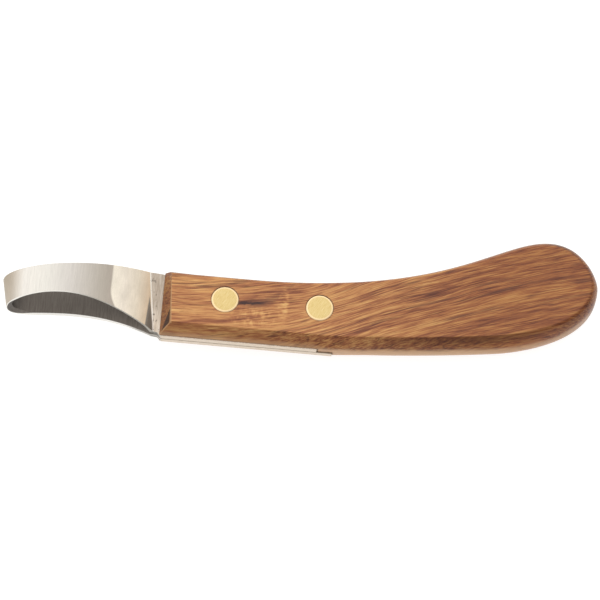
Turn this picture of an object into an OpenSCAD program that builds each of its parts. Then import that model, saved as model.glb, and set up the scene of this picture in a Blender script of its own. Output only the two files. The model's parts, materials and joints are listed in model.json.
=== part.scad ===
// Loop hoof knife: a steel strip bent into a sharpened loop, its two ends laid together as a doubled
// tang, held in a saw kerf in a one-piece wooden handle by two brass cutler's rivets.
//
// Every piece is drawn in the tool's own plane: X runs along the tang from the handle's front face
// towards the butt, Y runs across the handle from the rivet line towards its spine, and Z runs
// through its thickness from the mid-plane. as_it_lies() then lays the whole tool on its side.

/* [Handle] */
// Length of the handle, from its front face to the tip of the butt
handle_length = 152.2; // [148:0.1:158]
// Thickness of the handle, from flat face to flat face
handle_thick = 14; // [13:0.2:16]
// Height of the straight spine above the rivet line
spine_height = 9.7; // [9.5:0.1:10.5]
// Depth of the straight belly below the rivet line
belly_depth = 13.7; // [13:0.1:13.9]
// Height of the crest of the curved butt above the rivet line
crest_height = 34.2; // [31:0.1:36]
// Distance of the crest from the front face
crest_x = 134.5; // [132:0.1:136]
// Reach of the long bevel along the belly, measured in the plane of the face
belly_bevel = 3.5; // [3:0.1:4]
// Reach of the bevel at the front face, at its lower corner
front_bevel = 3.7; // [3:0.1:4]
// Reach of the rounding round the butt
butt_round = 3.2; // [2.5:0.1:3.6]
// Reach of the rounding along the spine
spine_round = 1.9; // [1.5:0.1:2.4]

/* [Tang and kerf] */
// Thickness of the steel strip
strip_thick = 2.2; // [2:0.05:2.2]
// Gap left between the two leaves of the tang
leaf_gap = 0.3; // [0.2:0.05:0.3]
// Depth that the tang reaches behind the front face
tang_length = 60.6; // [60.2:0.1:64]
// Depth of the tang's lower edge below the rivet line
tang_depth = 14.05; // [14:0.05:14.4]
// Height of the tang's upper edge above the rivet line
tang_height = 9.3; // [9:0.1:9.4]
// Size of the corner clipped off the upper leaf's end
leaf_clip = 5.6; // [4:0.1:6.5]
// Width of the saw kerf
kerf_width = 4.8; // [4.8:0.05:5.2]

/* [Loop] */
// Reach of the loop's nose ahead of the handle, along the rivet line
loop_reach = 56; // [52:0.5:60]
// Widest depth of the loop over its outside faces
loop_depth = 22.2; // [20:0.2:25]
// Distance of the widest place ahead of the handle
loop_widest_x = 36; // [33:0.5:39]
// Lean of the strip: how far its upper edge reaches ahead of its lower edge, in degrees
loop_lean = 10; // [6:0.5:13]

/* [Rivets] */
// Diameter of the rivet heads
head_dia = 9.5; // [8.5:0.1:10]
// Thickness of the rivet heads
head_thick = 1.6; // [1.2:0.1:2]
// Outside diameter of the tubular rivet half
tube_dia = 4.8; // [4.4:0.1:5]
// Diameter of the solid pin that is driven into the tube
pin_dia = 3.1; // [2.8:0.1:3.3]
// Distance of the front rivet from the front face
front_rivet_x = 21.8; // [20:0.1:24]
// Distance between the two rivets
rivet_pitch = 33.2; // [32:0.1:34]

/* [Hidden] */

wood = "#b48156";
steel = "#c9c5be";
brass = "#e3cb8c";

face_z = handle_thick/2;
kerf_z = kerf_width/2;
bevel_start_z = kerf_z + 0.3;
shoulder_z = 3.9;

// Clearances that keep the pieces apart as real, separate solids
rivet_clear = 0.02;
kerf_end_clear = 0.2;
leaf_slit = 0.3;

// A cubic curve through p[0] and p[3], drawn towards p[1] and p[2] on the way
function cubic(p, t) = pow(1 - t, 3)*p[0] + 3*t*pow(1 - t, 2)*p[1]
                     + 3*t*t*(1 - t)*p[2] + pow(t, 3)*p[3];
function cubic_points(p, steps) = [for (i = [1:steps]) cubic(p, i/steps)];
function ramp(x, from, to) = min(1, max(0, (x - from)/(to - from)));
function blend(a, b, k) = a + (b - a)*k;
function unit(v) = v/norm(v);

// ---------------------------------------------------------------- handle outline

tip_y = 18;
belly_run_out = 118;
belly_y = -belly_depth;
belly_mid_y = belly_y + 5.6;

// Both sides have the same number of corners, so the flat faces are strips between them
belly_side = concat(
    [[0, belly_y], [28, belly_y], [56, belly_y]],
    cubic_points([[56, belly_y], [69, belly_y],
                  [belly_run_out - 18.6, belly_mid_y - 2.8], [belly_run_out, belly_mid_y]], 9),
    cubic_points([[belly_run_out, belly_mid_y], [belly_run_out + 10.6, belly_mid_y + 1.6],
                  [handle_length, 0.9], [handle_length, tip_y]], 16));
spine_side = concat(
    cubic_points([[handle_length, tip_y], [handle_length, tip_y + 3.8],
                  [crest_x + 12.1, crest_height], [crest_x, crest_height]], 10),
    cubic_points([[crest_x, crest_height], [crest_x - 18.2, crest_height],
                  [100, spine_height], [30, spine_height]], 17),
    [[0, spine_height]]);
outline = concat(belly_side, spine_side);
corners = len(outline);
side_corners = corners/2;
spine_start = side_corners + 9;

// How far the flat face's edge stands in from the outline at each corner of it
function reach(i) =
    i >= spine_start ? blend(spine_round, butt_round, ramp(outline[i][0], 60, crest_x))
    : blend(belly_bevel, butt_round, ramp(outline[i][0], 118, handle_length));

// The share of that reach at a height above the mid-plane: a straight bevel over the tang,
// a bevel that runs into a rounded belly behind it, and a plain rounding along the spine
function bevel_share(z) = ramp(z, bevel_start_z, face_z);
function belly_share(z) = z < shoulder_z ? 0.4*pow(z/shoulder_z, 2)
                        : 0.4 + 0.6*ramp(z, shoulder_z, face_z);
function round_share(z) = 1 - sqrt(1 - min(1, pow(z/face_z, 2)));
function share(i, z) =
    i >= spine_start ? round_share(z)
    : blend(blend(bevel_share(z), belly_share(z), ramp(outline[i][0], 56, 72)),
            round_share(z), ramp(outline[i][0], 124, handle_length));

// Outward normal of the outline's side that starts at corner i
function side_normal(i) =
    let (d = outline[(i + 1) % corners] - outline[i % corners]) unit([d[1], -d[0]]);

// Place of corner i at height z: the two sharp front corners are mitred, the rest move inwards
function front_reach(i) = i == 0 ? front_bevel : 0.6*front_bevel;
function inset_corner(i, z) =
    i == 0 || i == corners - 1
    ? outline[i] + [front_reach(i)*bevel_share(z), (i == 0 ? 1 : -1)*reach(i)*share(i, z)]
    : outline[i] - unit(side_normal(i - 1) + side_normal(i))*reach(i)*share(i, z);

upper_levels = [bevel_start_z, shoulder_z, 5.2, 6.2, face_z - 0.25, face_z];
levels = concat([for (k = [len(upper_levels) - 1:-1:0]) -upper_levels[k]], upper_levels);

module handle_blank() {
    rings = len(levels);
    points = [for (z = levels, i = [0:corners - 1]) concat(inset_corner(i, abs(z)), [z])];
    walls = [for (k = [0:rings - 2], i = [0:corners - 1])
        let (j = (i + 1) % corners, a = k*corners, b = a + corners)
        each [[a + i, b + i, b + j], [a + i, b + j, a + j]]];
    top = (rings - 1)*corners;
    under_face = [for (i = [0:side_corners - 2]) [i, i + 1, corners - 2 - i, corners - 1 - i]];
    upper_face = [for (f = under_face) [top + f[3], top + f[2], top + f[1], top + f[0]]];
    polyhedron(points = points, faces = concat(walls, under_face, upper_face));
}

// The kerf's upper half leaves the wood standing where the upper leaf's corner is clipped off
module kerf() {
    end_x = tang_length + kerf_end_clear;
    clip_x = tang_length - leaf_clip + kerf_end_clear + 0.1;
    translate([-1, -50, -kerf_z]) cube([end_x + 1, 100, kerf_z + leaf_slit]);
    linear_extrude(height = kerf_z)
        polygon([[-1, -50], [clip_x, -50], [clip_x, -tang_depth],
                 [end_x, end_x - clip_x - tang_depth], [end_x, 50], [-1, 50]]);
}

module handle() {
    color(wood) as_it_lies() difference() {
        handle_blank();
        kerf();
        at_rivets() {
            cylinder(d = tube_dia + 2*rivet_clear, h = handle_thick + 2, center = true, $fn = 48);
            for (side = [-1, 1])
                translate([0, 0, side*(face_z - head_thick/2 + 0.5)])
                    cylinder(d = head_dia + 2*rivet_clear, h = head_thick + 1 + 2*rivet_clear,
                             center = true, $fn = 64);
        }
    }
}

// ---------------------------------------------------------------- loop blade

// Mid-line of one half of the strip, seen along its width: from the end of the tang forward to the
// neck, out to the widest place, and round to the middle of the nose
leaf_z = (leaf_gap + strip_thick)/2;
wide_z = (loop_depth - strip_thick)/2;
nose_x = -loop_reach + strip_thick/2;
neck_x = -3.2;
strip_half = concat(
    [[tang_length + 6, leaf_z], [neck_x, leaf_z]],
    cubic_points([[neck_x, leaf_z], [-13.5, 4.9], [-24, wide_z], [-loop_widest_x, wide_z]], 14),
    cubic_points([[-loop_widest_x, wide_z], [-loop_widest_x - 10.5, wide_z],
                  [nose_x, 0.66*wide_z], [nose_x, 0]], 14));
half_count = len(strip_half);
strip_line = concat(strip_half, [for (i = [half_count - 2:-1:0])
                                 [strip_half[i][0], -strip_half[i][1]]]);
line_count = len(strip_line);

// The mid-line moved sideways by a distance, mitred at each point
function line_dir(i) = unit(strip_line[min(i + 1, line_count - 1)] - strip_line[max(i, 0)]);
function moved(i, d) =
    let (a = line_dir(max(i - 1, 0)), b = line_dir(min(i, line_count - 2)), m = unit(a + b))
    strip_line[i] + [-m[1], m[0]]*d/(m*a);
strip_outline = concat([for (i = [0:line_count - 1]) moved(i, strip_thick/2)],
                       [for (i = [line_count - 1:-1:0]) moved(i, -strip_thick/2)]);

// Profile of the strip seen from the side: tang, neck and the two edges of the loop
neck_y = -12.4;
shoulder_x = -0.2;
band = concat(
    [[tang_length, -tang_depth], [tang_length, tang_height], [0, tang_height]],
    cubic_points([[0, tang_height], [-9, tang_height + 1.1], [-19, 9.2], [-28, 7.75]], 10),
    cubic_points([[-28, 7.75], [-37, 6.3], [-47, 5.1], [-62, 0.7]], 10),
    cubic_points([[-62, -10.2], [-51, -6.6], [-43, -4], [-33, -4]], 10),
    cubic_points([[-33, -4], [-22, -4], [-12, -7.8], [neck_x, neck_y]], 12),
    [[shoulder_x, neck_y - 0.4], [shoulder_x + 0.4, -tang_depth]]);

module loop_blade() {
    color(steel) as_it_lies() difference() {
        intersection() {
            rotate([0, 0, loop_lean]) rotate([90, 0, 0])
                linear_extrude(height = 80, center = true)
                    polygon([for (p = strip_outline) [p[0]*cos(loop_lean), p[1]]]);
            linear_extrude(height = 60, center = true) polygon(band);
        }
        at_rivets() cylinder(d = tube_dia + 2*rivet_clear, h = handle_thick, center = true, $fn = 48);
        translate([tang_length, -tang_depth, 0]) rotate([0, 0, 45])
            translate([-20, -leaf_clip*sin(45), 0]) cube([40, 2*leaf_clip*sin(45), 5]);
    }
}

// ---------------------------------------------------------------- rivets

module at_rivets() {
    for (x = [front_rivet_x, front_rivet_x + rivet_pitch]) translate([x, 0, 0]) children();
}

// Half with the hollow shank, its head in the upper face
module rivet_tube(x) {
    tube_end_z = -face_z + head_thick + 1;
    color(brass) as_it_lies() translate([x, 0, 0]) difference() {
        union() {
            translate([0, 0, face_z - head_thick]) cylinder(d = head_dia, h = head_thick, $fn = 64);
            translate([0, 0, tube_end_z])
                cylinder(d = tube_dia, h = face_z - head_thick/2 - tube_end_z, $fn = 48);
        }
        translate([0, 0, tube_end_z - 1])
            cylinder(d = pin_dia + 2*rivet_clear, h = face_z - head_thick - tube_end_z + 1, $fn = 48);
    }
}

// Half with the solid shank, its head in the lower face
module rivet_pin(x) {
    pin_end_z = face_z - head_thick - 0.6;
    color(brass) as_it_lies() translate([x, 0, 0]) {
        translate([0, 0, -face_z]) cylinder(d = head_dia, h = head_thick, $fn = 64);
        translate([0, 0, -face_z + head_thick/2])
            cylinder(d = pin_dia, h = pin_end_z + face_z - head_thick/2, $fn = 48);
    }
}

// ---------------------------------------------------------------- resting place

// The tool lies on its side on the loop's widest line and the butt end of the handle's flat face,
// so it tips by a degree or so. The origin is under the middle of it, on the surface.
rest_butt_x = handle_length - butt_round;
lie_angle = atan((loop_depth/2 - face_z)/(rest_butt_x + loop_widest_x));
nose_top_y = 3.5;
foremost_x = -loop_reach - nose_top_y*tan(loop_lean);
highest_y = crest_height - butt_round*round_share(bevel_start_z);
middle_x = (handle_length + foremost_x)/2;
middle_y = (highest_y - tang_depth)/2;
lift = rest_butt_x*sin(lie_angle) + face_z*cos(lie_angle);

module as_it_lies() {
    translate([-middle_x, -middle_y, lift]) rotate([0, lie_angle, 0]) children();
}

handle();
loop_blade();
rivet_tube(front_rivet_x);  // front_rivet_tube
rivet_pin(front_rivet_x);  // front_rivet_pin
rivet_tube(front_rivet_x + rivet_pitch);  // rear_rivet_tube
rivet_pin(front_rivet_x + rivet_pitch);  // rear_rivet_pin
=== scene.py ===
import json
import math
import bpy
from mathutils import Matrix, Vector


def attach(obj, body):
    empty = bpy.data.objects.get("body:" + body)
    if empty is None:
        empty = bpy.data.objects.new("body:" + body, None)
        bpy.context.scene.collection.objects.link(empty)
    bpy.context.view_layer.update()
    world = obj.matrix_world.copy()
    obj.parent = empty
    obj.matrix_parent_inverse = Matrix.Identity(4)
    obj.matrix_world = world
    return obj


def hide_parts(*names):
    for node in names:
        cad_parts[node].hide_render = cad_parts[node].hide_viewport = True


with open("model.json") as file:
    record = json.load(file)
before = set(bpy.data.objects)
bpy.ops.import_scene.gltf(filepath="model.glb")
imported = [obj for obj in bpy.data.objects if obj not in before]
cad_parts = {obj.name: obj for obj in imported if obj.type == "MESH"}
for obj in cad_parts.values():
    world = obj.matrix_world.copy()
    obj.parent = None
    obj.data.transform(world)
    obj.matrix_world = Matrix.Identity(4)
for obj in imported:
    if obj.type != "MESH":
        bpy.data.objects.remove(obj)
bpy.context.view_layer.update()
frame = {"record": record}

MM = 0.001

# ------------------------------------------------------------------ the tool's own plane
# X runs along the tang from the handle's front face to the butt, Y from the rivet line to the
# spine, Z through the thickness from the mid-plane. All lengths below are millimetres in it.
# The record's flat face says how the tool lies in the frame.

HANDLE_LENGTH = 152.2
FACE_Z = 7.0
BELLY_Y = -13.7
SPINE_Y = 9.7
CREST = (134.5, 34.199)
TIP_Y = 18.0
BELLY_STRAIGHT = 56.0       # the belly is straight as far as this
BELLY_RUN_OUT = 118.0
BELLY_BEVEL = 3.5
BUTT_ROUND = 3.2
SPINE_ROUND = 1.9
FRONT_BEVEL = 3.7
KERF_HALF = 2.4
BEVEL_START_Z = KERF_HALF + 0.3
SHOULDER_Z = 3.9
TANG_LENGTH = 60.6
TANG_LOW_Y = -14.05
TANG_HIGH_Y = 9.3
STRIP = 2.2
LEAF_Z = 1.25
LEAF_CLIP = 5.6
LEAF_SLIT = 0.3
RIVETS_X = (21.8, 55.0)
HEAD_RADIUS = 4.75
HEAD_THICK = 1.6
TUBE_RADIUS = 2.4
PIN_RADIUS = 1.55

MOUNT = next(m for m in frame["record"]["mounts"] if m["name"] == "handle_underside")
MOUNT_IN_TOOL = Vector((75.0, 1.0, -FACE_Z)) * MM
LIE_ANGLE = math.asin(-MOUNT["axis"][0])
TOOL = (Matrix.Translation(MOUNT["pos_m"]) @ Matrix.Rotation(LIE_ANGLE, 4, "Y")
        @ Matrix.Translation(-MOUNT_IN_TOOL))


def place(x, y, z):
    """A point of the tool's plane, in millimetres, as a point of the frame, in metres."""
    return TOOL @ (Vector((x, y, z)) * MM)


def mix(a, b, k):
    return a + (b - a) * k


def ramp(x, start, end):
    return min(1.0, max(0.0, (x - start) / (end - start)))


def smooth(x, start, end):
    k = ramp(x, start, end)
    return k * k * (3 - 2 * k)


def cubic(p, t):
    """Point at t of the cubic curve from p[0] to p[3], drawn towards p[1] and p[2]."""
    u = 1 - t
    return tuple(u**3 * a + 3 * u * u * t * b + 3 * u * t * t * c + t**3 * d
                 for a, b, c, d in zip(*p))


def cubic_points(p, steps):
    return [cubic(p, i / steps) for i in range(1, steps + 1)]


SHARP_DEG = 32              # edges that turn more than this are shaded as sharp


def make_piece(name, points, faces, material, sharp_deg=SHARP_DEG):
    """A mesh object from frame points and faces, smooth except over sharp edges."""
    mesh = bpy.data.meshes.new(name)
    mesh.from_pydata(points, [], faces)
    mesh.validate()
    mesh.update()
    mesh.materials.append(material)
    mesh.shade_smooth()
    mesh.set_sharp_from_angle(angle=math.radians(sharp_deg))
    piece = bpy.data.objects.new(name, mesh)
    bpy.context.scene.collection.objects.link(piece)
    return piece


def tube_faces(rings, around):
    """Quads between consecutive closed rings of points."""
    quads = []
    for k in range(rings - 1):
        for i in range(around):
            j = (i + 1) % around
            quads.append((k * around + i, k * around + j, (k + 1) * around + j,
                          (k + 1) * around + i))
    return quads


def apply_modifiers(piece):
    """Replaces the piece's mesh by its evaluated one."""
    bpy.context.view_layer.update()
    graph = bpy.context.evaluated_depsgraph_get()
    mesh = bpy.data.meshes.new_from_object(piece.evaluated_get(graph))
    old = piece.data
    piece.modifiers.clear()
    piece.data = mesh
    mesh.name = old.name
    bpy.data.meshes.remove(old)


def cut(piece, cutters):
    """Cuts the closed cutter objects out of the piece, then deletes them."""
    for cutter in cutters:
        boolean = piece.modifiers.new("cut", "BOOLEAN")
        boolean.operation = "DIFFERENCE"
        boolean.solver = "EXACT"
        boolean.object = cutter
    apply_modifiers(piece)
    piece.data.set_sharp_from_angle(angle=math.radians(SHARP_DEG))
    for cutter in cutters:
        bpy.data.objects.remove(cutter)


def prism_cutter(outline, z_low, z_high, material):
    """A closed upright prism on an (x, y) outline."""
    count = len(outline)
    corners = [place(x, y, z) for z in (z_low, z_high) for x, y in outline]
    faces = tube_faces(2, count)
    faces += [tuple(reversed(range(count))), tuple(range(count, 2 * count))]
    return make_piece("cutter", corners, faces, material)


def lathe(name, centre_x, profile, material, around=96):
    """A closed turned solid about the rivet axis at centre_x, from a (radius, z) profile."""
    points = []
    for radius, z in profile:
        for i in range(around):
            turn = 2 * math.pi * i / around
            points.append(place(centre_x + radius * math.cos(turn), radius * math.sin(turn), z))
    faces = tube_faces(len(profile), around)
    faces.append(tuple(reversed(range(around))))
    last = (len(profile) - 1) * around
    faces.append(tuple(range(last, last + around)))
    return make_piece(name, points, faces, material)


# ------------------------------------------------------------------ material helpers

def srgb(red, green, blue):
    """Linear colour from screen values of 0 to 255."""
    def linear(c):
        c /= 255
        return c / 12.92 if c <= 0.04045 else ((c + 0.055) / 1.055) ** 2.4
    return linear(red), linear(green), linear(blue), 1.0


def grey(level):
    return level, level, level, 1.0


class Nodes:
    """Short names for building one material's node tree."""

    def __init__(self, name):
        self.material = bpy.data.materials.new(name)
        self.material.use_nodes = True
        self.tree = self.material.node_tree
        self.shader = self.tree.nodes["Principled BSDF"]
        self.object_coords = self.add("ShaderNodeTexCoord").outputs["Object"]

    def add(self, kind, **settings):
        node = self.tree.nodes.new(kind)
        for key, value in settings.items():
            setattr(node, key, value)
        return node

    def link(self, source, socket):
        self.tree.links.new(source, socket)

    def feed(self, socket, value):
        if isinstance(value, bpy.types.NodeSocket):
            self.link(value, socket)
        else:
            socket.default_value = value

    def tool_coords(self):
        """Object coordinates turned into the tool's plane, in millimetres."""
        inverse = TOOL.inverted()
        node = self.add("ShaderNodeMapping", vector_type="POINT")
        node.inputs["Location"].default_value = inverse.to_translation() / MM
        node.inputs["Rotation"].default_value = inverse.to_euler("XYZ")
        node.inputs["Scale"].default_value = (1 / MM, 1 / MM, 1 / MM)
        self.link(self.object_coords, node.inputs["Vector"])
        return node.outputs["Vector"]

    def split(self, vector):
        node = self.add("ShaderNodeSeparateXYZ")
        self.link(vector, node.inputs[0])
        return node.outputs[0], node.outputs[1], node.outputs[2]

    def join(self, x, y, z):
        node = self.add("ShaderNodeCombineXYZ")
        for socket, value in zip(node.inputs, (x, y, z)):
            self.feed(socket, value)
        return node.outputs[0]

    def math(self, operation, *values):
        node = self.add("ShaderNodeMath", operation=operation)
        for socket, value in zip(node.inputs, values):
            self.feed(socket, value)
        return node.outputs[0]

    def plus(self, total, *others):
        for other in others:
            total = self.math("ADD", total, other)
        return total

    def minus(self, a, b):
        return self.math("SUBTRACT", a, b)

    def times(self, product, *others):
        for other in others:
            product = self.math("MULTIPLY", product, other)
        return product

    def line(self, value, slope, start):
        """start + slope * value."""
        return self.math("MULTIPLY_ADD", value, slope, start)

    def apart(self, a, b):
        """How far a and b lie apart."""
        return self.math("ABSOLUTE", self.minus(a, b))

    def spread(self, value, low, high, to_low=0.0, to_high=1.0, smoothly=True):
        """The value's place between low and high, carried over to to_low..to_high."""
        node = self.add("ShaderNodeMapRange")
        node.interpolation_type = "SMOOTHSTEP" if smoothly else "LINEAR"
        for socket, v in zip(("Value", "From Min", "From Max", "To Min", "To Max"),
                             (value, low, high, to_low, to_high)):
            self.feed(node.inputs[socket], v)
        return node.outputs["Result"]

    def fade(self, value, low, high, end=0.0):
        """1 up to low, falling smoothly to end at high."""
        return self.spread(value, low, high, 1.0, end)

    def noise(self, *axes, detail=2.0, roughness=0.5):
        """Noise over three axes, each a (value, scale) pair or a value as it is."""
        spot = [self.times(*axis) if isinstance(axis, tuple) else axis for axis in axes]
        node = self.add("ShaderNodeTexNoise")
        self.link(self.join(*spot), node.inputs["Vector"])
        node.inputs["Scale"].default_value = 1.0
        node.inputs["Detail"].default_value = detail
        node.inputs["Roughness"].default_value = roughness
        return node.outputs["Fac"]

    def blend(self, factor, a, b, mode="MIX"):
        node = self.add("ShaderNodeMix", data_type="RGBA", blend_type=mode)
        self.feed(node.inputs["Factor"], factor)
        self.feed(node.inputs[6], a)
        self.feed(node.inputs[7], b)
        return node.outputs[2]

    def lighten(self, colour, amount):
        """The colour made brighter or darker by a signed amount."""
        node = self.add("ShaderNodeVectorMath", operation="SCALE")
        self.link(colour, node.inputs[0])
        self.link(self.plus(amount, 1.0), node.inputs["Scale"])
        return node.outputs[0]

    def stops(self, factor, *colours):
        """Colour ramp through (position, colour) stops."""
        node = self.add("ShaderNodeValToRGB")
        elements = node.color_ramp.elements
        while len(elements) < len(colours):
            elements.new(0.5)
        for element, (position, colour) in zip(elements, colours):
            element.position = position
            element.color = colour
        self.link(factor, node.inputs["Fac"])
        return node.outputs["Color"]

    def curve(self, value, span, points):
        """A smooth curve of value over 0..span through the (x, y) points."""
        node = self.add("ShaderNodeFloatCurve")
        line = node.mapping.curves[0]
        node.mapping.use_clip = False
        while len(line.points) < len(points):
            line.points.new(0.5, 0.5)
        for point, (x, y) in zip(line.points, points):
            point.location = (x / span, y / span)
        node.mapping.update()
        self.link(self.math("DIVIDE", value, span), node.inputs["Value"])
        return self.times(node.outputs[0], span)

    def bump(self, height, strength, distance_mm):
        node = self.add("ShaderNodeBump")
        node.inputs["Strength"].default_value = strength
        node.inputs["Distance"].default_value = distance_mm * MM
        self.link(height, node.inputs["Height"])
        return node.outputs["Normal"]

    def finish(self, **sockets):
        for name, value in sockets.items():
            self.feed(self.shader.inputs[name.replace("_", " ")], value)
        return self.material


# ------------------------------------------------------------------ wood

GRAIN_SPAN = 160
GRAIN_SWEEP = [(0, 0), (30, 3.0), (50, 7.5), (75, 18), (105, 29.5), (160, 46)]
GRAIN_WANDER = 2.6
GRAIN_RISE = math.radians(20)       # the fibres' mean slope behind the tang
PORE_DEPTH = 0.8

WOOD_TONES = ((0.10, srgb(98, 50, 34)), (0.32, srgb(150, 88, 56)), (0.50, srgb(189, 125, 78)),
              (0.66, srgb(214, 156, 97)), (0.88, srgb(236, 188, 121)))
AGED_TINT = (0.63, 0.51, 0.41, 1)
PORE_BROWN = srgb(92, 50, 30)
LINE_BROWN = srgb(84, 46, 36)
YOUNG_GOLD = srgb(226, 170, 100)
AGED_GOLD = srgb(188, 132, 72)
KNOT_BROWN = srgb(64, 36, 34)
END_GRAIN_TINT = (0.30, 0.24, 0.23, 1)
BELLY_SHADE_TINT = (0.50, 0.44, 0.43, 1)
BELLY_LIGHT_TAN = srgb(220, 178, 138)
RIM_REFLECTION_GREY = srgb(136, 108, 90)
WEDGE_BROWN = srgb(40, 22, 18)
SEAT_SHADE_BROWN = srgb(84, 46, 34)
ARRIS_WEAR_AND_HIGHLIGHT_TAN = srgb(222, 180, 132)


def wood_material():
    """Oiled, figured hardwood: grain that swings upwards behind the tang."""
    n = Nodes("oiled_hardwood")
    x, y, z = n.split(n.tool_coords())
    wander = n.noise((x, 0.035), (y, 0.08), (z, 0.1), detail=1.0)
    across = n.plus(n.minus(y, n.curve(x, GRAIN_SPAN, GRAIN_SWEEP)),
                    n.times(wander, GRAIN_WANDER))

    def streaks(along, over, depth, gain, shift=0.0, rough=0.55):
        """Noise drawn out along the grain, centred on zero."""
        fac = n.noise(n.line(x, along, shift), (across, over), (z, depth), roughness=rough)
        return n.line(fac, gain, -0.5 * gain)

    broad = streaks(0.016, 0.22, 0.12, 0.70)
    medium = streaks(0.045, 1.1, 0.5, 0.55, shift=7.0)
    fine = streaks(0.12, 2.5, 1.4, 1.35, shift=3.0, rough=0.65)
    pores = n.spread(streaks(0.34, 3.4, 3.0, 1.0, shift=11.0), 0.08, 0.22)
    golden = n.spread(streaks(0.08, 2.0, 1.2, 1.0, shift=17.0), 0.08, 0.20)
    rings = streaks(0.012, 0.34, 0.2, 1.0, shift=5.0, rough=0.45)
    dark_lines = n.times(n.fade(n.apart(rings, 0.04), 0.004, 0.020), n.fade(medium, -0.06, 0.12))
    fine = n.times(fine, n.spread(x, 15.0, 70.0, 0.78, 1.0))
    ageing = n.spread(x, 40, 130, 0.05, 1.0)

    colour = n.stops(n.plus(broad, medium, fine, 0.5, curl_figure(n, x, y, across)), *WOOD_TONES)
    colour = n.blend(ageing, colour, AGED_TINT, "MULTIPLY")
    colour = n.blend(n.times(pores, 0.42), colour, PORE_BROWN)
    colour = n.blend(n.times(dark_lines, 0.60), colour, LINE_BROWN)
    colour = n.blend(n.times(golden, 0.45), colour, n.blend(ageing, YOUNG_GOLD, AGED_GOLD))
    colour = n.blend(knot_streak(n, x, y), colour, KNOT_BROWN)
    to_spine, cut_fibres = surface_slopes(n, x)
    colour = n.blend(cut_fibres, colour, END_GRAIN_TINT, "MULTIPLY")
    # painted shade: the down-facing band just below the face's edge is darkened
    colour = n.blend(shaded_belly(n, to_spine, x, z), colour, BELLY_SHADE_TINT, "MULTIPLY")
    # painted light: the down-facing belly is lightened as if lit from the floor below
    colour = n.blend(belly_floor_light(n, to_spine, x, z), colour, BELLY_LIGHT_TAN)
    # painted reflection: a grey rim where the face turns over into the spine
    colour = n.blend(spine_rim_reflection(n, to_spine, z), colour, RIM_REFLECTION_GREY)
    colour = n.blend(front_wedge(n, x, y, z), colour, WEDGE_BROWN)
    # painted shade: a dark ring in the gap round each rivet head
    colour = n.blend(seat_shade_rings(n, x, y, z), colour, SEAT_SHADE_BROWN)
    # wear and a painted highlight along the front bevel's edges
    colour = n.blend(arris_wear_and_highlight(n, x, y, z), colour, ARRIS_WEAR_AND_HIGHLIGHT_TAN)

    n.shader.inputs["Specular IOR Level"].default_value = 0.32
    n.shader.inputs["Coat Weight"].default_value = 0.10
    n.shader.inputs["Coat Roughness"].default_value = 0.15
    return n.finish(Base_Color=colour, Roughness=n.spread(medium, -0.3, 0.3, 0.34, 0.46),
                    Normal=n.bump(n.minus(fine, n.times(pores, PORE_DEPTH)), 0.22, 0.05))


def curl_figure(n, x, y, across):
    """Bright curls across the grain between the rivets, in a slightly darker patch."""
    def patch(centre_x, centre_y, half_x, half_y):
        """Soft oval mask."""
        from_x = n.math("DIVIDE", n.minus(x, centre_x), half_x)
        from_y = n.math("DIVIDE", n.minus(y, centre_y), half_y)
        away = n.plus(n.times(from_x, from_x), n.times(from_y, from_y))
        return n.fade(away, 0.1, 1.0)

    curls = n.minus(n.noise((x, 0.55), (across, 0.40), 4.0), 0.50)
    mottle = n.times(n.math("MAXIMUM", curls, -0.05), patch(32.0, -5.8, 11.0, 5.0))
    blobs = n.spread(n.noise((x, 0.25), (y, 0.55), 9.0), 0.35, 0.60)
    column = n.times(blobs, patch(42.3, 0.0, 2.3, 7.5), 0.34)
    dusk = n.times(patch(36.0, -2.0, 20.0, 16.0), -0.10)
    return n.plus(dusk, mottle, column)


KNOT_X = 27.0               # where the knot streak starts
KNOT_BEND_X = 33.0          # where it begins to curl upwards


def knot_streak(n, x, y):
    """Mask of the dark streak behind the front rivet: a core with smoke round it."""
    past_bend = n.math("MAXIMUM", n.minus(x, KNOT_BEND_X), 0.0)
    height = n.line(n.times(past_bend, past_bend), 0.05, -0.9)
    height = n.line(n.minus(x, KNOT_X), 0.08, height)
    ragged = n.noise((x, 0.5), (y, 1.4), 0.0, detail=3.0)
    away = n.plus(n.apart(y, height), n.line(ragged, 1.6, -0.8))
    core = n.times(n.fade(away, 0.20, 0.95), n.spread(x, KNOT_X - 1.5, KNOT_X + 0.5),
                   n.fade(x, KNOT_BEND_X, KNOT_BEND_X + 7.0, end=0.15))
    smoke = n.times(n.fade(away, 0.3, 2.6), 0.52, n.spread(x, KNOT_X, KNOT_X + 5.0),
                    n.fade(x, KNOT_BEND_X + 3.0, KNOT_BEND_X + 11.0))
    return n.math("MAXIMUM", core, smoke)


def surface_slopes(n, x):
    """(the normal's lean towards the spine, how much the surface cuts across the fibres)."""
    normal = n.add("ShaderNodeNewGeometry").outputs["Normal"]
    leans = []
    for way in ((0, 1, 0), (math.cos(GRAIN_RISE), math.sin(GRAIN_RISE), 0)):
        lean = n.add("ShaderNodeVectorMath", operation="DOT_PRODUCT")
        n.link(normal, lean.inputs[0])
        lean.inputs[1].default_value = TOOL.to_3x3() @ Vector(way)
        leans.append(lean.outputs["Value"])
    to_spine, along_fibres = leans
    steep = n.spread(n.math("ABSOLUTE", along_fibres), 0.08, 0.36)
    front_paler = n.spread(x, 55.0, 105.0, 0.62, 1.0)
    # Painted light: the end-grain tint fades out towards the butt, to brighten its dimly lit
    # rounding.
    butt_brightened = n.fade(x, 132.0, 149.0, end=0.25)
    return to_spine, n.times(steep, butt_brightened, front_paler)


def shaded_belly(n, to_spine, x, z):
    """Mask of the painted shade in the band just below the edge of the flat face, behind the
    tang.
    """
    return n.times(n.spread(z, 3.4, 6.0), n.fade(to_spine, -0.30, -0.12),
                   n.spread(x, 62.0, 108.0), n.fade(x, 114.0, 146.0, end=0.3))


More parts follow.
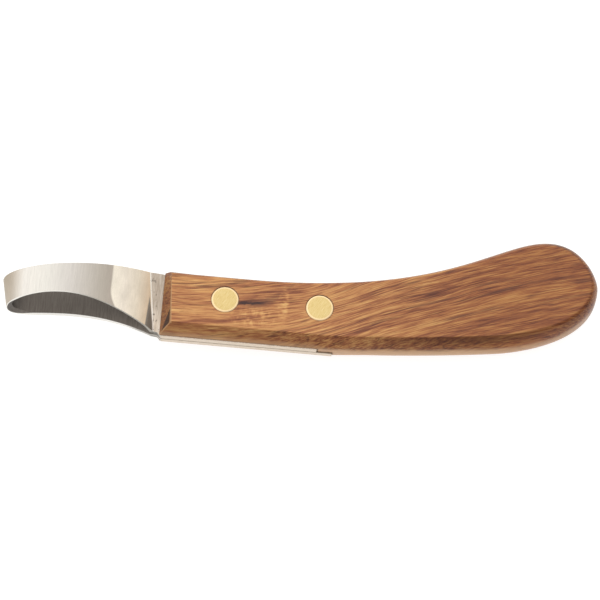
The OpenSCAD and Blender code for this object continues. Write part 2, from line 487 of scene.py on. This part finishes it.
def belly_floor_light(n, to_spine, x, z):
    """Mask of the paler band along the belly: painted light from the floor below, strongest just
    behind the tang.
    """
    ragged = n.noise((x, 0.12), 0.0, (z, 0.5), detail=3.0)
    height = n.plus(z, n.line(ragged, 2.0, -1.0), n.spread(x, 50.0, 64.0, -1.3, 0.0))
    band = n.times(n.fade(height, 1.4, 3.2), n.spread(height, -5.0, -2.8),
                   n.fade(to_spine, -0.60, -0.35))
    return n.times(band, n.spread(x, 50.0, 66.0, 0.50, 1.0), n.fade(x, 105.0, 140.0, end=0.55),
                   0.84)


def spine_rim_reflection(n, to_spine, z):
    """Mask of the painted grey reflection on the rim where the flat face turns over into the
    spine.
    """
    return n.times(n.spread(to_spine, 0.35, 0.80, 0.0, 0.5), n.spread(z, 3.0, 4.6))


def from_rivet(n, x, y):
    """Distance from the nearer rivet's axis."""
    middle = (RIVETS_X[0] + RIVETS_X[1]) / 2
    from_axis = n.minus(n.apart(x, middle), RIVETS_X[1] - middle)
    return n.math("SQRT", n.plus(n.times(from_axis, from_axis), n.times(y, y)))


def seat_shade_rings(n, x, y, z):
    """Mask of the dark ring of painted shade in the wood round each rivet head, in the gap at its
    seat.
    """
    ring = n.fade(from_rivet(n, x, y), HEAD_RADIUS + 0.10, HEAD_RADIUS + 0.38)
    at_face = n.spread(n.math("ABSOLUTE", z), FACE_Z - 0.5, FACE_Z - 0.2)
    return n.times(ring, at_face, 0.6)


# The front bevel meets the belly's bevel on y = BELLY_Y + MITRE_SLOPE * x, and the flat face on
# x = FACE_EDGE_X + FACE_EDGE_SLANT * y. The wedge lies right of x = WEDGE_X + WEDGE_SLANT * y.
MITRE_SLOPE = 0.946
FACE_EDGE_X = 2.86
FACE_EDGE_SLANT = -0.082
WEDGE_X = 4.45
WEDGE_SLANT = 0.30
WEDGE_TOP_Y = -4.4


def over_mitre(n, x, y):
    """How far a point of the bevels lies above their mitre."""
    return n.minus(y, n.line(x, MITRE_SLOPE, BELLY_Y))


def front_wedge(n, x, y, z):
    """Mask of the dark wedge low on the bevel of the front face."""
    slant = n.spread(n.minus(x, n.line(y, WEDGE_SLANT, WEDGE_X)), -0.2, 0.25)
    inside = n.times(n.fade(y, WEDGE_TOP_Y - 1.2, WEDGE_TOP_Y), n.fade(x, 3.0, 3.4),
                     n.spread(over_mitre(n, x, y), 0.1, 0.5))
    return n.times(slant, inside, n.spread(z, 0.0, 2.0), 0.88)


def arris_wear_and_highlight(n, x, y, z):
    """Mask of the pale edges round the bevel of the front face: wear and a painted highlight."""
    from_face = n.apart(x, n.line(y, FACE_EDGE_SLANT, FACE_EDGE_X))
    top = n.times(n.fade(from_face, 0.15, 0.45), n.spread(z, 6.3, 6.7),
                  n.fade(y, 1.0, 7.0, end=0.35))
    from_mitre = n.math("ABSOLUTE", over_mitre(n, x, y))
    mitre = n.times(n.fade(from_mitre, 0.12, 0.40), n.fade(x, 3.6, 3.9), n.spread(z, 2.4, 2.9))
    return n.times(n.math("MAXIMUM", top, mitre), 0.42)


# ------------------------------------------------------------------ steel and brass

# The loop bends up from the neck at the crease x = CREASE_X - CREASE_SLANT * y. Beside it lies
# a steep hammered facet, from x = FACET_X to x = FACET_RIGHT - FACET_SLANT * y.
CREASE_X = -3.85
CREASE_SLANT = 0.135
FACET_X = -4.75
FACET_RIGHT = -4.45
FACET_SLANT = 0.18

SATIN_SPAN = (-56.0, -16.0)
# painted reflections: the brushed band's tones rise and fall along the loop, dark at the nose
SATIN_AND_REFLECTION_TONES = ((0.00, (0.37, 0.31, 0.23, 1)), (0.08, (0.49, 0.43, 0.36, 1)),
               (0.19, (0.73, 0.70, 0.66, 1)), (0.38, (0.68, 0.66, 0.62, 1)),
               (0.58, (0.58, 0.55, 0.52, 1)), (0.85, (0.45, 0.41, 0.36, 1)),
               (0.97, (0.42, 0.37, 0.32, 1)))
SATIN_END_X = -18.1
CREAM_SPAN = (-19.0, -3.0)
CREAM_TONES = ((0.10, (0.76, 0.70, 0.60, 1)), (0.35, (0.73, 0.66, 0.57, 1)),
               (0.62, (0.68, 0.60, 0.49, 1)), (0.90, (0.55, 0.42, 0.30, 1)))
NECK_TONES = ((0.0, (0.34, 0.28, 0.23, 1)), (0.5, (0.45, 0.38, 0.31, 1)),
              (1.0, (0.53, 0.47, 0.41, 1)))
FACET_SHADE_GREY = (0.27, 0.25, 0.22, 1)
GLINT = (0.80, 0.75, 0.68, 1)
LOW_GLINT = (1.0, 0.96, 0.90, 1)
PIT_AND_SHADE_BROWN = (0.10, 0.085, 0.07, 1)
INNER_SHADE_TONES = ((0.0, (0.155, 0.136, 0.120, 1)), (1.0, (0.235, 0.210, 0.188, 1)))
INNER_TANG = (0.56, 0.47, 0.37, 1)
BRIGHT_TONES = ((0.3, (0.72, 0.69, 0.64, 1)), (0.7, (0.88, 0.86, 0.82, 1)))
STAINED_TONES = ((0.3, (0.54, 0.44, 0.34, 1)), (0.55, (0.68, 0.58, 0.47, 1)),
                 (0.75, (0.80, 0.73, 0.64, 1)))
EDGE_SHADE = (0.27, 0.245, 0.205, 1)
BRASS_TONES = ((0.30, srgb(194, 168, 108)), (0.5, srgb(213, 189, 131)),
               (0.7, srgb(225, 206, 156)))
BRASS_RIM = srgb(246, 218, 174)


def brushed(n, x, y, z):
    """Fine lines across the strip, centred on zero."""
    coarse = n.noise((x, 1.6), (y, 0.10), (z, 0.8))
    fine = n.noise((x, 7.0), (y, 0.22), (z, 2.0), roughness=0.7)
    return n.minus(n.plus(n.times(coarse, 0.5), fine), 0.75)


def shaded_facet(n, x, y):
    """Mask of the painted dark reflection on the steep facet at the lower side of the crease."""
    right = n.plus(x, n.line(y, FACET_SLANT, -FACET_RIGHT))
    left = n.minus(x, n.line(y, 0.05, FACET_X + 0.12))
    return n.times(n.fade(right, -0.15, 0.10), n.spread(left, -0.12, 0.12), 0.92)


def outer_steel_material():
    """The strip's outside: brushed round the loop with painted reflections along it, polished
    behind it, left rough at the neck.
    """
    n = Nodes("ground_steel")
    x, y, z = n.split(n.tool_coords())
    lines = brushed(n, x, y, z)
    facet = shaded_facet(n, x, y)
    # painted reflection: the brushed band's colour carries the highlights and dark nose along the
    # loop
    satin_and_reflections = n.lighten(n.stops(n.spread(x, *SATIN_SPAN, smoothly=False), *SATIN_AND_REFLECTION_TONES),
                      n.times(lines, 0.42))
    clouds = n.line(n.noise((x, 0.35), (y, 0.16), 6.0), 0.36, -0.18)
    cream = n.lighten(n.stops(n.spread(x, *CREAM_SPAN, smoothly=False), *CREAM_TONES),
                      n.plus(n.times(lines, 0.25), clouds))
    # painted reflection: the steep facet is darkened for the dark surroundings it faces
    cream = n.blend(facet, cream, FACET_SHADE_GREY)
    neck = n.lighten(n.stops(n.spread(lines, -0.2, 0.2), *NECK_TONES),
                     n.spread(y, -9.0, -2.0, 0.30, 0.0))

    below = n.math("MINIMUM", y, 0.0)
    satin_end = n.line(n.times(below, below), 0.045, SATIN_END_X)
    in_cream = n.spread(n.minus(x, satin_end), -0.35, 0.35)
    past_crease = n.plus(x, n.line(y, CREASE_SLANT, -CREASE_X))
    in_neck = n.spread(past_crease, -0.1, 0.1)
    colour = n.blend(in_neck, n.blend(in_cream, satin_and_reflections, cream), neck)
    on_crease = n.fade(n.math("ABSOLUTE", n.plus(past_crease, 0.05)), 0.10, 0.34)
    colour = n.blend(n.times(on_crease, 0.95), colour,
                     n.blend(n.spread(y, -6.0, 0.0), LOW_GLINT, GLINT))
    pits = n.noise((x, 0.9), (y, 0.55), 2.0, detail=3.0, roughness=0.6)
    pitted = n.times(n.spread(pits, 0.56, 0.66), n.spread(past_crease, 1.6, 2.6, 0.75, 0.0),
                     n.spread(past_crease, -0.3, 0.2))
    colour = n.blend(pitted, colour, PIT_AND_SHADE_BROWN)

    rough = n.blend(in_neck, n.blend(in_cream, grey(0.40), grey(0.20)), grey(0.46))
    rough = n.blend(facet, rough, grey(0.55))
    return n.finish(Base_Color=colour, Metallic=1.0, Roughness=n.line(lines, 0.2, rough),
                    Normal=n.bump(lines, 0.10, 0.02))


def inner_steel_material():
    """The inside of the loop, only roughly ground, and painted dark for the shade inside it."""
    n = Nodes("shaded_inner_steel")
    x, y, z = n.split(n.tool_coords())
    lines = brushed(n, x, y, z)
    # painted shade: the inside is given dark tones
    colour = n.stops(n.spread(lines, -0.25, 0.25), *INNER_SHADE_TONES)
    # painted shade: darker towards the high edge, lighter towards the low edge
    colour = n.lighten(colour, n.spread(y, -9.0, 3.0, 0.24, -0.26))
    # painted shade: darker towards the nose
    colour = n.lighten(colour, n.spread(x, -55.0, -47.0, -0.55, 0.0))
    colour = n.blend(n.spread(x, 0.0, 2.0), colour, INNER_TANG)
    return n.finish(Base_Color=colour, Metallic=1.0, Roughness=n.line(lines, 0.2, 0.5),
                    Normal=n.bump(lines, 0.2, 0.03))


def edge_steel_material():
    """The strip's edges and bevels, ground bright round the loop, stained along the tang."""
    n = Nodes("edge_steel")
    x, y, z = n.split(n.tool_coords())
    scratch = n.noise((x, 0.5), (y, 3.0), (z, 6.0), detail=3.0)
    colour = n.blend(n.spread(x, -1.5, 1.0), n.stops(scratch, *BRIGHT_TONES),
                     n.stops(scratch, *STAINED_TONES))
    near_wall = n.times(n.spread(z, 1.5, 3.0), n.spread(x, -38.0, -22.0))
    shade = n.times(n.math("MAXIMUM", n.spread(x, -13.0, -6.0), near_wall),
                    n.fade(x, -1.0, 1.5), 0.85)
    colour = n.blend(shade, colour, EDGE_SHADE)
    # painted shadow: dark in the gap between the leaves at the neck and along the far leaf's
    # outer edge there
    at_neck = n.times(n.spread(x, -3.6, -2.6), n.fade(x, -0.4, 0.4))
    between_leaves = n.times(n.spread(z, -0.4, 0.1), n.fade(z, 1.4, 2.0))
    gap_shade = n.math("MAXIMUM", between_leaves, n.fade(z, -2.2, -1.7))
    colour = n.blend(n.times(at_neck, gap_shade, 0.85), colour, PIT_AND_SHADE_BROWN)
    return n.finish(Base_Color=colour, Metallic=1.0,
                    Roughness=n.spread(scratch, 0.3, 0.7, 0.26, 0.42),
                    Normal=n.bump(scratch, 0.15, 0.03))


def brass_material():
    """Sanded brass with slanting scratches and a brighter rim."""
    n = Nodes("sanded_brass")
    x, y, z = n.split(n.tool_coords())
    way = n.plus(n.times(x, 0.5), y)
    over = n.minus(n.times(y, 0.5), x)
    scratch = n.noise((way, 0.35), (over, 4.5), z, detail=3.0, roughness=0.7)
    rim = n.spread(from_rivet(n, x, y), 4.0, 4.3)
    colour = n.blend(n.times(rim, 0.85), n.stops(scratch, *BRASS_TONES), BRASS_RIM)
    return n.finish(Base_Color=colour, Metallic=1.0,
                    Roughness=n.spread(scratch, 0.3, 0.7, 0.30, 0.42),
                    Normal=n.bump(scratch, 0.25, 0.03))


# ------------------------------------------------------------------ handle

SPINE_WIDENS_X = 60.0       # the spine's rounding grows from here to the crest
BELLY_ROUNDS_X = 72.0       # the belly's long bevel has turned into a rounded belly here
BUTT_ROUNDS_X = 124.0       # and from here it turns into the butt's plain rounding
RUN_OUT_RISE = 5.6          # how far the belly has risen at its run-out
FLAT_RIM = 1.6              # width of the flat that each section carries beyond its last edge


def handle_outline():
    """Belly side from the front corner to the tip, then spine side back to the front corner."""
    run_out_y = BELLY_Y + RUN_OUT_RISE
    tip = (HANDLE_LENGTH, TIP_Y)
    belly = [(x, BELLY_Y) for x in (0.0, 14.0, 28.0, 42.0, BELLY_STRAIGHT)]
    belly += cubic_points([(BELLY_STRAIGHT, BELLY_Y), (BELLY_STRAIGHT + 13, BELLY_Y),
                           (BELLY_RUN_OUT - 18.6, run_out_y - 2.8),
                           (BELLY_RUN_OUT, run_out_y)], 30)
    belly += cubic_points([(BELLY_RUN_OUT, run_out_y), (BELLY_RUN_OUT + 10.6, run_out_y + 1.6),
                           (HANDLE_LENGTH, 0.9), tip], 42)
    spine = cubic_points([tip, (HANDLE_LENGTH, TIP_Y + 3.8), (CREST[0] + 12.1, CREST[1]), CREST],
                         24)
    spine += cubic_points([CREST, (CREST[0] - 18.2, CREST[1]), (100, SPINE_Y), (30, SPINE_Y)], 50)
    spine += [(x, SPINE_Y) for x in (20.0, 10.0, 0.0)]
    return belly, spine


def rounded_corner(before, corner, after, radius, steps=4):
    """Points round a corner of a section, from radius before it to radius after it."""
    corner = Vector(corner)
    start = corner + (Vector(before) - corner).normalized() * radius
    end = corner + (Vector(after) - corner).normalized() * radius
    points = []
    for i in range(steps + 1):
        t = i / steps
        point = start.lerp(corner, t).lerp(corner.lerp(end, t), t)
        points.append((point.x, point.y))
    return points


# Each section below is a list of (distance in from the outline, height above the mid-plane), and
# all of them have the same number of points, so that they can be blended.

def bevel_section(reach):
    """A low upright side and a long bevel."""
    foot, head = (0.0, BEVEL_START_Z), (reach, FACE_Z)
    rim = (reach + FLAT_RIM, FACE_Z)
    return ([(0.0, 0.0)] + rounded_corner((0, 0), foot, head, 0.35)
            + rounded_corner(foot, head, rim, 0.3) + [rim])


def belly_section(reach):
    """A rounded belly that runs into a bevel."""
    shoulder, head = (0.4 * reach, SHOULDER_Z), (reach, FACE_Z)
    rim = (reach + FLAT_RIM, FACE_Z)
    curve = [(shoulder[0] * t * t, SHOULDER_Z * t) for t in (0, 0.25, 0.5, 0.75, 0.9, 1.0)]
    return curve + rounded_corner(shoulder, head, rim, 0.45) + [rim]


def round_share(z):
    return 1 - math.sqrt(1 - (z / FACE_Z) ** 2)


def round_section(reach):
    """A plain rounding into the flat face, with a nearly flat band about the mid-plane."""
    curve = []
    for i in range(11):
        z = FACE_Z * math.sin(math.radians(90) * i / 10)
        band = round_share(BEVEL_START_Z) * (1 - smooth(z, 0, 4.6))
        curve.append((reach * (round_share(z) + band), z))
    return curve + [(reach + FLAT_RIM, FACE_Z)]


def blend_sections(a, b, k):
    return [(mix(p[0], q[0], k), mix(p[1], q[1], k)) for p, q in zip(a, b)]


def section_at(x, on_spine):
    if on_spine:
        return round_section(mix(SPINE_ROUND, BUTT_ROUND, ramp(x, SPINE_WIDENS_X, CREST[0])))
    reach = mix(BELLY_BEVEL, BUTT_ROUND, ramp(x, BELLY_RUN_OUT, HANDLE_LENGTH))
    section = blend_sections(bevel_section(reach), belly_section(reach),
                             ramp(x, BELLY_STRAIGHT, BELLY_ROUNDS_X))
    return blend_sections(section, round_section(reach), ramp(x, BUTT_ROUNDS_X, HANDLE_LENGTH))


def inward(points, i):
    """Unit vector into the handle at point i of the closed outline."""
    before, here, after = (Vector(points[(i + k) % len(points)]) for k in (-1, 0, 1))
    side = (here - before).normalized() + (after - here).normalized()
    return Vector((-side.y, side.x)).normalized()


def handle_blank(material):
    """The handle before its kerf, seats and bores: one column of points per outline point."""
    belly, spine = handle_outline()
    outline = belly + spine
    count = len(outline)
    columns = []
    for i, (x, y) in enumerate(outline):
        section = section_at(x, on_spine=i >= len(belly))
        if i in (0, count - 1):
            front = bevel_section(FRONT_BEVEL if i == 0 else 0.6 * FRONT_BEVEL)
            up = 1 if i == 0 else -1
            column = [(x + f[0], y + up * s[0], mix(f[1], s[1], 0.5))
                      for f, s in zip(front, section)]
        else:
            into = inward(outline, i)
            column = [(x + into.x * d, y + into.y * d, z) for d, z in section]
        columns.append(column)
    half = len(columns[0])
    rings = [(k, -1) for k in range(half - 1, 0, -1)] + [(k, 1) for k in range(half)]
    points = [place(columns[i][k][0], columns[i][k][1], side * columns[i][k][2])
              for k, side in rings for i in range(count)]
    faces = tube_faces(len(rings), count)
    top = (len(rings) - 1) * count
    for i in range(count // 2 - 1):
        under = (i, count - 1 - i, count - 2 - i, i + 1)
        faces.append(under)
        faces.append(tuple(top + k for k in reversed(under)))
    return make_piece("handle_wood", points, faces, material)


def kerf_cutters(material):
    """The saw kerf in two halves: the near one follows the clipped corner of its leaf."""
    before, clear = -5, 40          # well outside the wood
    end_x = TANG_LENGTH + 0.2
    clip_x = TANG_LENGTH - LEAF_CLIP + 0.3
    square = [(before, -clear), (end_x, -clear), (end_x, clear), (before, clear)]
    clipped = [(before, -clear), (clip_x, -clear), (clip_x, TANG_LOW_Y),
               (end_x, TANG_LOW_Y + end_x - clip_x), (end_x, clear), (before, clear)]
    return [prism_cutter(square, -KERF_HALF, LEAF_SLIT, material),
            prism_cutter(clipped, LEAF_SLIT - 0.1, KERF_HALF, material)]


def rivet_cutters(x, material):
    """The two seats and the bore of the rivet at x."""
    seat_radius = HEAD_RADIUS + 0.1
    bore_radius = TUBE_RADIUS + 0.05
    cutters = []
    for side in (-1, 1):
        seat = [(seat_radius, side * (FACE_Z - HEAD_THICK - 0.05)),
                (seat_radius, side * (FACE_Z + 1))]
        cutters.append(lathe("cutter", x, seat if side > 0 else seat[::-1], material))
    bore = [(bore_radius, -FACE_Z), (bore_radius, FACE_Z)]
    return cutters + [lathe("cutter", x, bore, material)]


def build_handle():
    wood = wood_material()
    handle = handle_blank(wood)
    cutters = kerf_cutters(wood)
    for x in RIVETS_X:
        cutters += rivet_cutters(x, wood)
    cut(handle, cutters)
    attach(handle, "root")
    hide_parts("handle")


# ------------------------------------------------------------------ loop blade

LOOP_REACH = 56.0
LOOP_DEPTH = 22.2
WIDEST_X = -36.0
NECK_X = -3.85
NECK_EDGE = (-3.2, -12.4)   # where the loop's lower edge meets the neck
NECK_DROP = 0.4             # how far that edge falls from there to the shoulder
NECK_LEAN = 7.7             # degrees by which the cross-section leans at the crease
NOSE_LEAN = 12.0            # and at the nose
SHOULDER = (-0.2, 0.2)      # the strip's lower edge steps down to the tang's between these
TWIST_RISE = 0.8
STRIP_ROWS = 26
BLADE_SHARP_DEG = 30
OUTER, INNER, EDGE = 0, 1, 2


def strip_half():
    """Mid-line of one half of the strip: (x, z) from the tang's end to the nose."""
    wide_z = (LOOP_DEPTH - STRIP) / 2 - 0.02
    nose_x = -LOOP_REACH + STRIP / 2 + 0.16
    clip_x = TANG_LENGTH - LEAF_CLIP
    line = [(x, LEAF_Z) for x in (TANG_LENGTH, 58.8, 57.0, clip_x, 48, 36, 24, 12, 4, 2, 1.2, 0.9,
                                  0.6, 0.3, 0, -0.5, -1.5, -2.5, -3.5, -3.8, NECK_X)]
    line += cubic_points([(NECK_X, LEAF_Z), (-13.5, 4.8), (-24, wide_z), (WIDEST_X, wide_z)], 60)
    line += cubic_points([(WIDEST_X, wide_z), (WIDEST_X - 10.5, wide_z),
                          (nose_x, 0.66 * wide_z), (nose_x, 0.0)], 40)
    return line


def edge_curve(pieces, steps=40):
    """Points of the joined cubic pieces in order of x."""
    points = [pieces[0][0]]
    for piece in pieces:
        points += cubic_points(piece, steps)
    return sorted(points)


HIGH_EDGE = edge_curve([[(0, TANG_HIGH_Y), (-9, TANG_HIGH_Y + 1.1), (-19, 9.2), (-28, 7.75)],
                        [(-28, 7.75), (-37, 6.3), (-47, 5.1), (-62, 0.7)]])
LOW_EDGE = edge_curve([[(-62, -10.2), (-51, -6.6), (-43, -4), (-33, -4)],
                       [(-33, -4), (-22, -4), (-12, -7.8), NECK_EDGE]])


def height_at(curve, x):
    """Height of a sorted (x, y) curve at x."""
    if x <= curve[0][0]:
        return curve[0][1]
    for (x0, y0), (x1, y1) in zip(curve, curve[1:]):
        if x <= x1:
            return mix(y0, y1, (x - x0) / (x1 - x0)) if x1 > x0 else y1
    return curve[-1][1]


def low_edge(x, upper):
    if x <= NECK_EDGE[0]:
        return height_at(LOW_EDGE, x)
    clip = max(0.0, x - (TANG_LENGTH - LEAF_CLIP)) if upper else 0.0
    neck = NECK_EDGE[1] - NECK_DROP * ramp(x, NECK_EDGE[0], SHOULDER[0])
    return mix(neck, TANG_LOW_Y, ramp(x, *SHOULDER)) + clip


def high_edge(x):
    return TANG_HIGH_Y if x >= 0 else height_at(HIGH_EDGE, x)


def meet(edge, x, shear):
    """The y where a cross-section that leans from (x, 0) meets the edge curve."""
    y = 0.0
    for _ in range(6):
        y = edge(x - y * shear)
    return y


def strip_ring(low, high, grind, flat):
    """(y, distance out from the mid-line) round one cross-section, its bevels on the inside."""
    half = STRIP / 2
    rows = [k / STRIP_ROWS for k in range(STRIP_ROWS + 1)]
    return ([(mix(low, high, k), half) for k in rows] + [(high, half - flat)]
            + [(mix(high - grind, low + grind, k), -half) for k in rows] + [(low, half - flat)])


def strip_side(k):
    """Which surface the k-th quad round the strip belongs to."""
    if k < STRIP_ROWS:
        return OUTER
    if k in (STRIP_ROWS, 2 * STRIP_ROWS + 3):
        return EDGE
    return INNER


NOSE_GRIND, NOSE_FLAT = 1.3, 0.30       # reach of the inside bevel, width of flat edge left
UPPER_GRIND, UPPER_FLAT = 0.9, 0.8


def edge_shape(x, upper):
    """(reach of the inside bevel, width of flat edge left) of the strip at x of its mid-line."""
    if not upper:
        thinning = smooth(-x, 46, 54.5)
        return mix(0.10, NOSE_GRIND, thinning), mix(STRIP - 0.10, NOSE_FLAT, thinning)
    sharpened = smooth(-x, 3, 8)
    nose = smooth(-x, 51.5, 54.5)
    return (mix(mix(0.04, UPPER_GRIND, sharpened), NOSE_GRIND, nose),
            mix(mix(STRIP - 0.02, UPPER_FLAT, sharpened), NOSE_FLAT, nose))


def twist(x, y):
    """How far the hammered neck lifts the lower side of the upper leaf above the plain bend."""
    climb = ramp(-x, FACET_SLANT * y - FACET_RIGHT, -FACET_X + 0.01)
    return TWIST_RISE * ramp(-y, 1.3, 12) * climb * (1 - smooth(-x, 5, 24))


def build_blade():
    half = strip_half()
    line = half + [(x, -z) for x, z in half[-2::-1]]
    points = []
    for i, (x, z) in enumerate(line):
        before, after = line[max(i - 1, 0)], line[min(i + 1, len(line) - 1)]
        way = Vector((after[0] - before[0], after[1] - before[1])).normalized()
        out = Vector((way.y, -way.x))
        lean = mix(NECK_LEAN, NOSE_LEAN, smooth(-x, 4, 50)) * smooth(-x, -3, 3)
        shear = math.tan(math.radians(lean))
        upper = i < len(half)
        low = meet(lambda at_x: low_edge(at_x, upper), x, shear)
        high = meet(high_edge, x, shear)
        for y, off in strip_ring(low, high, *edge_shape(x, upper)):
            px, pz = x - y * shear + out.x * off, z + out.y * off
            points.append(place(px, y, pz + (twist(px, y) if upper else 0)))
    around = 2 * STRIP_ROWS + 4
    faces = tube_faces(len(line), around)
    sides = [strip_side(k % around) for k in range(len(faces))]
    last = (len(line) - 1) * around
    faces += [tuple(reversed(range(around))), tuple(range(last, last + around))]
    sides += [EDGE, EDGE]
    blade = make_piece("loop_blade_steel", points, faces, outer_steel_material(), BLADE_SHARP_DEG)
    blade.data.materials.append(inner_steel_material())
    blade.data.materials.append(edge_steel_material())
    for face, side in zip(blade.data.polygons, sides):
        face.material_index = side
    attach(blade, "root")
    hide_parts("loop_blade")


# ------------------------------------------------------------------ rivets

CENTRE = 0.02               # a turned solid's end faces start this far from its axis


def build_rivets():
    brass = brass_material()
    under_head = FACE_Z - HEAD_THICK
    tube_end = 1 - under_head
    pin_end = under_head - 0.6
    bore = PIN_RADIUS + 0.02
    head = [(HEAD_RADIUS, under_head), (HEAD_RADIUS, FACE_Z - 0.16),
            (HEAD_RADIUS - 0.30, FACE_Z - 0.04), (HEAD_RADIUS - 0.40, FACE_Z - 0.01),
            (HEAD_RADIUS * 0.5, FACE_Z), (CENTRE, FACE_Z)]
    tube = [(CENTRE, under_head), (bore, under_head), (bore, tube_end),
            (TUBE_RADIUS, tube_end), (TUBE_RADIUS, under_head)] + head
    pin = [(r, -z) for r, z in head[::-1]] + [(PIN_RADIUS, -under_head), (PIN_RADIUS, pin_end),
                                              (CENTRE, pin_end)]
    for name, x in zip(("front", "rear"), RIVETS_X):
        for half, profile in (("tube", tube), ("pin", pin)):
            piece = lathe(f"{name}_rivet_{half}_brass", x, profile, brass)
            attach(piece, "root")
            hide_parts(f"{name}_rivet_{half}")


# ------------------------------------------------------------------ stage, light and camera

VIEW_TILT = math.radians(23.5)          # the camera's tilt from straight above the flat face
VIEW_ROLL = math.radians(5.1)
LENS_MM = 240.0
SENSOR_MM = 36.0
FRAME_WIDTH_MM = 210.7
LOOK_AT = (47.9, 5.30, 0.0)
BRIGHT_SIDE = (-0.36, 0.58, 0.73)       # the direction the studio's soft light comes from
LIGHT_COLOUR = (1.0, 0.985, 0.955, 1)
LIGHT_TURN = (("From Min", -0.25), ("From Max", 0.88))      # cosines to the bright side
LIGHT_STRENGTH = (("To Min", 0.24), ("To Max", 1.345))
FLOOR_HALF = 6.0                        # metres
PAPER_GLOW = 0.88


def build_camera():
    """A long lens, nearly straight above the flat face, turned a little against the tool."""
    across = Vector((1, 0, 0))
    upwards = Vector((0, math.cos(VIEW_TILT), math.sin(VIEW_TILT)))
    back = across.cross(upwards)
    right = across * math.cos(VIEW_ROLL) + upwards * math.sin(VIEW_ROLL)
    up = upwards * math.cos(VIEW_ROLL) - across * math.sin(VIEW_ROLL)
    turn = TOOL.to_3x3()
    right, up, back = turn @ right, turn @ up, turn @ back
    distance = FRAME_WIDTH_MM * LENS_MM / SENSOR_MM * MM
    spot = place(*LOOK_AT) + back * distance
    data = bpy.data.cameras.new("camera")
    data.lens, data.sensor_width = LENS_MM, SENSOR_MM
    data.clip_start, data.clip_end = 0.01, 50
    camera = bpy.data.objects.new("camera", data)
    camera.matrix_world = Matrix((
        (right.x, up.x, back.x, spot.x),
        (right.y, up.y, back.y, spot.y),
        (right.z, up.z, back.z, spot.z),
        (0, 0, 0, 1)))
    bpy.context.scene.collection.objects.link(camera)
    bpy.context.scene.camera = camera


def build_floor():
    """White paper that glows a little, so that it stays white under the tool's own shadow."""
    n = Nodes("white_paper")
    tooth = n.noise(*((axis, 400) for axis in n.split(n.object_coords)))
    paper = n.finish(Base_Color=n.stops(tooth, (0.3, srgb(150, 150, 149)),
                                        (0.7, srgb(156, 156, 155))),
                     Roughness=0.9, Emission_Color=(1, 1, 1, 1), Emission_Strength=PAPER_GLOW)
    mesh = bpy.data.meshes.new("floor")
    mesh.from_pydata([(-FLOOR_HALF, -FLOOR_HALF, 0), (FLOOR_HALF, -FLOOR_HALF, 0),
                      (FLOOR_HALF, FLOOR_HALF, 0), (-FLOOR_HALF, FLOOR_HALF, 0)], [],
                     [(0, 1, 2, 3)])
    mesh.materials.append(paper)
    floor = bpy.data.objects.new("floor", mesh)
    bpy.context.scene.collection.objects.link(floor)


def build_light():
    """A soft studio all round, brightest on one side."""
    world = bpy.data.worlds.new("studio")
    bpy.context.scene.world = world
    world.use_nodes = True
    tree = world.node_tree
    background = tree.nodes["Background"]
    coords = tree.nodes.new("ShaderNodeTexCoord")
    facing = tree.nodes.new("ShaderNodeVectorMath")
    facing.operation = "DOT_PRODUCT"
    facing.inputs[1].default_value = BRIGHT_SIDE
    strength = tree.nodes.new("ShaderNodeMapRange")
    strength.interpolation_type = "SMOOTHSTEP"
    for name, value in LIGHT_TURN + LIGHT_STRENGTH:
        strength.inputs[name].default_value = value
    tree.links.new(coords.outputs["Generated"], facing.inputs[0])
    tree.links.new(facing.outputs["Value"], strength.inputs["Value"])
    tree.links.new(strength.outputs["Result"], background.inputs["Strength"])
    background.inputs["Color"].default_value = LIGHT_COLOUR
    bpy.context.scene.view_settings.view_transform = "Standard"


build_floor()
build_light()
build_camera()
build_handle()
build_blade()
build_rivets()
